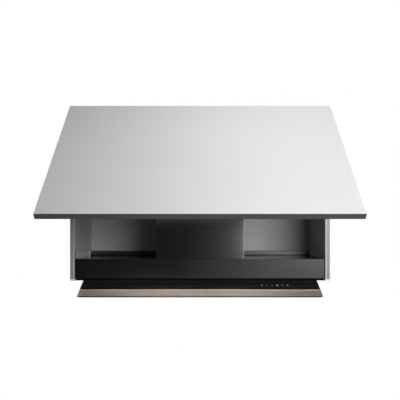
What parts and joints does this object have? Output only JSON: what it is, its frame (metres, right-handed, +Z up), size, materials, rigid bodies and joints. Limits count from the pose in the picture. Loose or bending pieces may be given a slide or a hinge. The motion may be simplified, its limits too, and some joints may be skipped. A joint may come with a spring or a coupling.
{
  "type": "cooker hood with lift-up cabinet front",
  "caption": "Built-in cooker hood with tilting glass visor, fitted in its wall cabinet behind a white lift-up front on gas struts.",
  "frame": {"origin": "on the wall plane, in the middle of the cabinet's width, level with its bottom edge", "axes": "+X to the right seen from the front, +Y back into the wall, +Z up; the front faces -Y"},
  "size_m": [0.9, 0.821, 0.6609],
  "materials": {
    "white_lacquer": "satin white lacquer on board",
    "grey_laminate": "satin dark grey laminate, paler edging",
    "zinc_plate": "zinc plated",
    "screw_zinc": "zinc plated",
    "strut_black": "semi-gloss black",
    "strut_rod_steel": "ground and polished",
    "clear_rubber": "soft clear",
    "black_enamel": "satin black enamel",
    "visor_black": "satin black enamel",
    "galvanised_sheet": "galvanised",
    "black_plastic": "moulded",
    "motor_can": "cast",
    "lamp_ring": "satin",
    "lamp_glass": "frosted",
    "filter_metal": "brushed",
    "filter_pull_black": "moulded",
    "black_glass": "polished, black backed",
    "champagne_metal": "champagne anodised, brushed lengthwise",
    "circuit_board": "coated"
  },
  "bodies": {
    "cabinet": {"side_panel_left": "grey_laminate", "side_panel_right": "grey_laminate", "top_panel": "grey_laminate", "back_panel": "grey_laminate", "rear_rail_upper": "grey_laminate", "rear_rail_lower": "grey_laminate", "hinge_arm_left": "zinc_plate", "hinge_arm_right": "zinc_plate", "strut_bracket_left": "zinc_plate", "strut_bracket_right": "zinc_plate", "damper_rod": "zinc_plate", "cabinet_screws": "screw_zinc", "hardware_screws": "screw_zinc", "body_fixing_screws": "screw_zinc", "flap_bumpers": "clear_rubber", "hood_body_shell": "black_enamel", "rear_spacer": "black_enamel", "motor_housing": "black_enamel", "underside_panel": "black_enamel", "visor_bracket_left": "black_enamel", "visor_bracket_right": "black_enamel", "mounting_bracket_left": "galvanised_sheet", "mounting_bracket_right": "galvanised_sheet", "outlet_collar": "black_plastic", "outlet_flange": "black_plastic", "cable_gland": "black_plastic", "blower_scroll": "black_plastic", "control_box": "black_plastic", "blower_motor": "motor_can", "lamp_bezel_left": "lamp_ring", "lamp_bezel_right": "lamp_ring", "lamp_lens_left": "lamp_glass", "lamp_lens_right": "lamp_glass"},
    "flap": {"flap_panel": "white_lacquer", "hinge_leaf_left": "zinc_plate", "hinge_leaf_right": "zinc_plate", "hinge_pin_left": "zinc_plate", "hinge_pin_right": "zinc_plate", "flap_bracket_left": "zinc_plate", "flap_bracket_right": "zinc_plate", "flap_screws": "screw_zinc"},
    "visor": {"visor_tray": "visor_black", "visor_glass": "black_glass", "visor_lip": "champagne_metal", "visor_pins": "zinc_plate", "touch_board": "circuit_board"},
    "blower": {"motor_shaft": "zinc_plate", "blower_wheel": "black_plastic"},
    "damper_front": {"damper_front": "black_plastic"},
    "damper_back": {"damper_back": "black_plastic"},
    "strut_cylinder_left": {"strut_cylinder_left": "strut_black"},
    "strut_rod_left": {"strut_rod_left": "strut_rod_steel"},
    "filter_left": {"filter_frame_left": "filter_metal", "filter_mesh_left": "filter_metal", "filter_pull_left": "filter_pull_black"},
    "strut_cylinder_right": {"strut_cylinder_right": "strut_black"},
    "strut_rod_right": {"strut_rod_right": "strut_rod_steel"},
    "filter_right": {"filter_frame_right": "filter_metal", "filter_mesh_right": "filter_metal", "filter_pull_right": "filter_pull_black"}
  },
  "joints": [
    {"name": "flap_swing", "type": "hinge", "parent": "cabinet", "child": "flap", "pos_m": [0, -0.359, 0.591], "axis": [-1, 0, 0], "range_deg": [-50.3, 39.7]},
    {"name": "visor_tilt", "type": "hinge", "parent": "cabinet", "child": "visor", "pos_m": [0, -0.2244, 0.003], "axis": [1, 0, 0], "range_deg": [-20.3, 0]},
    {"name": "blower_spin", "type": "hinge", "parent": "cabinet", "child": "blower", "pos_m": [0, -0.21, 0.205], "axis": [1, 0, 0], "continuous": true},
    {"name": "damper_front_lift", "type": "hinge", "parent": "cabinet", "child": "damper_front", "pos_m": [0, -0.21, 0.37], "axis": [-1, 0, 0], "range_deg": [0, 80]},
    {"name": "damper_back_lift", "type": "hinge", "parent": "cabinet", "child": "damper_back", "pos_m": [0, -0.21, 0.37], "axis": [1, 0, 0], "range_deg": [0, 80]},
    {"name": "strut_cylinder_left_swing", "type": "hinge", "parent": "cabinet", "child": "strut_cylinder_left", "pos_m": [-0.42, -0.20121, 0.56448], "axis": [-1, 0, 0], "range_deg": [-25.2, 20]},
    {"name": "strut_rod_left_swing", "type": "hinge", "parent": "flap", "child": "strut_rod_left", "pos_m": [-0.42, -0.46982, 0.4756], "axis": [-1, 0, 0], "range_deg": [-20, 25.2]},
    {"name": "filter_left_drop", "type": "hinge", "parent": "cabinet", "child": "filter_left", "pos_m": [-0.166, -0.0969, 0.013], "axis": [1, 0, 0], "range_deg": [0, 60]},
    {"name": "strut_cylinder_right_swing", "type": "hinge", "parent": "cabinet", "child": "strut_cylinder_right", "pos_m": [0.42, -0.20121, 0.56448], "axis": [-1, 0, 0], "range_deg": [-25.2, 20]},
    {"name": "strut_rod_right_swing", "type": "hinge", "parent": "flap", "child": "strut_rod_right", "pos_m": [0.42, -0.46982, 0.4756], "axis": [-1, 0, 0], "range_deg": [-20, 25.2]},
    {"name": "filter_right_drop", "type": "hinge", "parent": "cabinet", "child": "filter_right", "pos_m": [0.166, -0.0969, 0.013], "axis": [1, 0, 0], "range_deg": [0, 60]}
  ],
  "couplings": [
    {"joint": "strut_cylinder_left_swing", "follows": "flap_swing", "ratio": 0.5},
    {"joint": "strut_rod_left_swing", "follows": "flap_swing", "ratio": -0.5},
    {"joint": "strut_cylinder_right_swing", "follows": "flap_swing", "ratio": 0.5},
    {"joint": "strut_rod_right_swing", "follows": "flap_swing", "ratio": -0.5}
  ]
}
